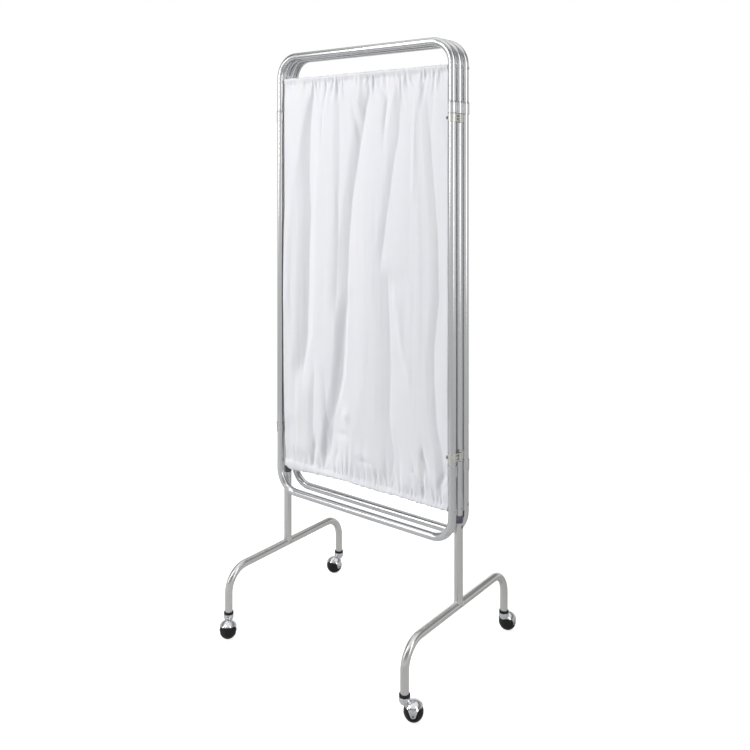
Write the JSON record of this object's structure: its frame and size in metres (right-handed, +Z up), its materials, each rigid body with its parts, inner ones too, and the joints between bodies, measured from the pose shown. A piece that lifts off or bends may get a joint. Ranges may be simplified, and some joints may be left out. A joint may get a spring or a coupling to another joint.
{
  "type": "folding ward privacy screen on casters",
  "caption": "Folding privacy screen of curtained tube frames hinged in a zigzag, the middle one standing on two arched legs with ball casters, drawn folded shut.",
  "frame": {"origin": "on the floor, under the centre of the middle frame", "axes": "+X along the panels, towards the side on which the front wing is hinged; +Y from the front wing to the rear wing; +Z up"},
  "size_m": [0.709, 0.5893, 1.7196],
  "materials": {
    "frame_tube": "satin anodised tube with fine lengthwise drawing lines",
    "leg_tube": "satin silver grey",
    "hinge": "zinc plated",
    "rod": "bright drawn steel",
    "fastener": "dull steel",
    "caster_chrome": "polished plating",
    "wheel": "black, slightly glossy",
    "cap": "black moulded plastic",
    "collar": "dark violet blue moulded plastic",
    "curtain": "white vinyl sheet with a soft sheen"
  },
  "bodies": {
    "stand": {"middle_upper_arch": "frame_tube", "middle_left_tube": "frame_tube", "middle_right_tube": "frame_tube", "middle_top_rod": "rod", "middle_bottom_rod": "rod", "middle_curtain": "curtain", "left_leg": "leg_tube", "right_leg": "leg_tube", "left_post_collar": "collar", "right_post_collar": "collar", "left_post_screw": "fastener", "right_post_screw": "fastener", "front_upper_hinge_frame_leaf": "hinge", "front_upper_hinge_pin": "fastener", "front_lower_hinge_frame_leaf": "hinge", "front_lower_hinge_pin": "fastener", "rear_upper_hinge_frame_leaf": "hinge", "rear_upper_hinge_pin": "fastener", "rear_lower_hinge_frame_leaf": "hinge", "rear_lower_hinge_pin": "fastener", "left_front_caster_cap": "cap", "left_rear_caster_cap": "cap", "right_front_caster_cap": "cap", "right_rear_caster_cap": "cap"},
    "front_wing": {"front_upper_arch": "frame_tube", "front_lower_arch": "frame_tube", "front_left_tube": "frame_tube", "front_right_tube": "frame_tube", "front_top_rod": "rod", "front_bottom_rod": "rod", "front_curtain": "curtain", "front_upper_hinge_wing_leaf": "hinge", "front_lower_hinge_wing_leaf": "hinge"},
    "rear_wing": {"rear_upper_arch": "frame_tube", "rear_lower_arch": "frame_tube", "rear_left_tube": "frame_tube", "rear_right_tube": "frame_tube", "rear_top_rod": "rod", "rear_bottom_rod": "rod", "rear_curtain": "curtain", "rear_upper_hinge_wing_leaf": "hinge", "rear_lower_hinge_wing_leaf": "hinge"},
    "left_front_swivel": {"left_front_caster_hood": "caster_chrome", "left_front_caster_axle": "fastener"},
    "left_front_wheel": {"left_front_caster_wheel": "wheel"},
    "left_rear_swivel": {"left_rear_caster_hood": "caster_chrome", "left_rear_caster_axle": "fastener"},
    "left_rear_wheel": {"left_rear_caster_wheel": "wheel"},
    "right_front_swivel": {"right_front_caster_hood": "caster_chrome", "right_front_caster_axle": "fastener"},
    "right_front_wheel": {"right_front_caster_wheel": "wheel"},
    "right_rear_swivel": {"right_rear_caster_hood": "caster_chrome", "right_rear_caster_axle": "fastener"},
    "right_rear_wheel": {"right_rear_caster_wheel": "wheel"}
  },
  "joints": [
    {"name": "front_wing_hinge", "type": "hinge", "parent": "stand", "child": "front_wing", "pos_m": [0.331, -0.016, 1.045], "axis": [0, 0, 1], "range_deg": [0, 180]},
    {"name": "rear_wing_hinge", "type": "hinge", "parent": "stand", "child": "rear_wing", "pos_m": [-0.331, 0.016, 1.045], "axis": [0, 0, 1], "range_deg": [0, 180]},
    {"name": "left_front_caster_swivel", "type": "hinge", "parent": "stand", "child": "left_front_swivel", "pos_m": [-0.317, -0.25, 0.073], "axis": [0, 0, 1], "continuous": true},
    {"name": "left_front_wheel_roll", "type": "hinge", "parent": "left_front_swivel", "child": "left_front_wheel", "pos_m": [-0.302, -0.26609, 0.025], "axis": [0.7314, 0.682, 0], "continuous": true},
    {"name": "left_rear_caster_swivel", "type": "hinge", "parent": "stand", "child": "left_rear_swivel", "pos_m": [-0.317, 0.25, 0.073], "axis": [0, 0, 1], "continuous": true},
    {"name": "left_rear_wheel_roll", "type": "hinge", "parent": "left_rear_swivel", "child": "left_rear_wheel", "pos_m": [-0.31892, 0.22808, 0.025], "axis": [0.9962, -0.0872, 0], "continuous": true},
    {"name": "right_front_caster_swivel", "type": "hinge", "parent": "stand", "child": "right_front_swivel", "pos_m": [0.317, -0.25, 0.073], "axis": [0, 0, 1], "continuous": true},
    {"name": "right_front_wheel_roll", "type": "hinge", "parent": "right_front_swivel", "child": "right_front_wheel", "pos_m": [0.33566, -0.23834, 0.025], "axis": [-0.5299, 0.848, 0], "continuous": true},
    {"name": "right_rear_caster_swivel", "type": "hinge", "parent": "stand", "child": "right_rear_swivel", "pos_m": [0.317, 0.25, 0.073], "axis": [0, 0, 1], "continuous": true},
    {"name": "right_rear_wheel_roll", "type": "hinge", "parent": "right_rear_swivel", "child": "right_rear_wheel", "pos_m": [0.31623, 0.27199, 0.025], "axis": [-0.9994, -0.0349, 0], "continuous": true}
  ]
}
